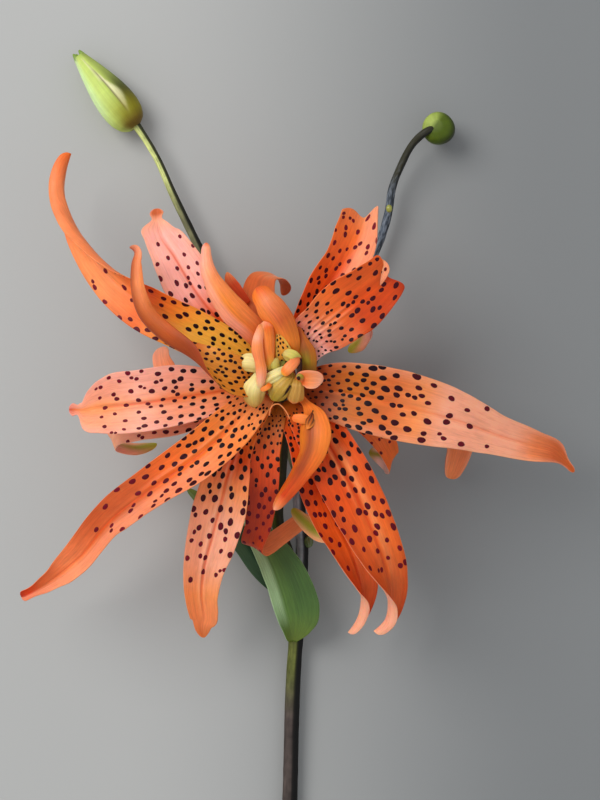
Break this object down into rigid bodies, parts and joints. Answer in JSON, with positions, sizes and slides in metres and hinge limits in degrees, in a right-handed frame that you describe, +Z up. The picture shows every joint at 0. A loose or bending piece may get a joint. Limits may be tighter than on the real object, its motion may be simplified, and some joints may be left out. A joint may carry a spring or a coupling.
{
  "type": "double tiger lily cut flower",
  "caption": "Cut lily stem with an open double bloom of spotted, curled back orange tepals, buds on long stalks and leaves; decorative, lies on a surface.",
  "frame": {"origin": "middle of the footprint at the surface that the stem lies on", "axes": "+Z up, the way the bloom faces; +Y along the stem from its cut end towards the buds; +X to the right as seen from above with the buds away from the viewer"},
  "size_m": [0.1614, 0.2802, 0.055],
  "materials": {
    "tepal_orange": "satin",
    "tepal_salmon": "satin",
    "tepal_back": "satin",
    "petaloid": "satin",
    "petaloid_brown": "satin",
    "heart": "satin",
    "stem": "satin",
    "leaf": "satin",
    "leaf_dark": "satin",
    "bud": "satin",
    "bulbil": "gloss"
  },
  "bodies": {
    "root": {"stem": "stem", "bud_large": "bud", "bud_small": "bud", "heart": "heart", "petaloid_front": "petaloid", "petaloid_centre": "petaloid", "petaloid_olive": "petaloid_brown", "petaloid_spoon": "petaloid", "petaloid_top": "petaloid", "petaloid_left": "petaloid", "tepal_upper_right_front": "tepal_orange", "tepal_upper_left_long": "tepal_orange", "tepal_lower_left_long": "tepal_orange", "tepal_right_long": "tepal_orange", "tepal_lower_right": "tepal_orange", "tepal_left": "tepal_salmon", "tepal_upper_right": "tepal_orange", "tepal_low": "tepal_orange", "tepal_upper_left": "tepal_salmon", "tepal_lower_right_back": "tepal_orange", "tepal_lower_centre": "tepal_orange", "outer_top": "tepal_back", "outer_right": "tepal_back", "outer_right_hook": "tepal_back", "outer_right_low": "tepal_back", "outer_low": "tepal_back", "outer_left_low": "tepal_back", "outer_left": "tepal_back", "leaf_front": "leaf", "leaf_back": "leaf_dark", "bulbil_low": "bulbil", "bulbil_high": "bulbil"}
  },
  "joints": []
}
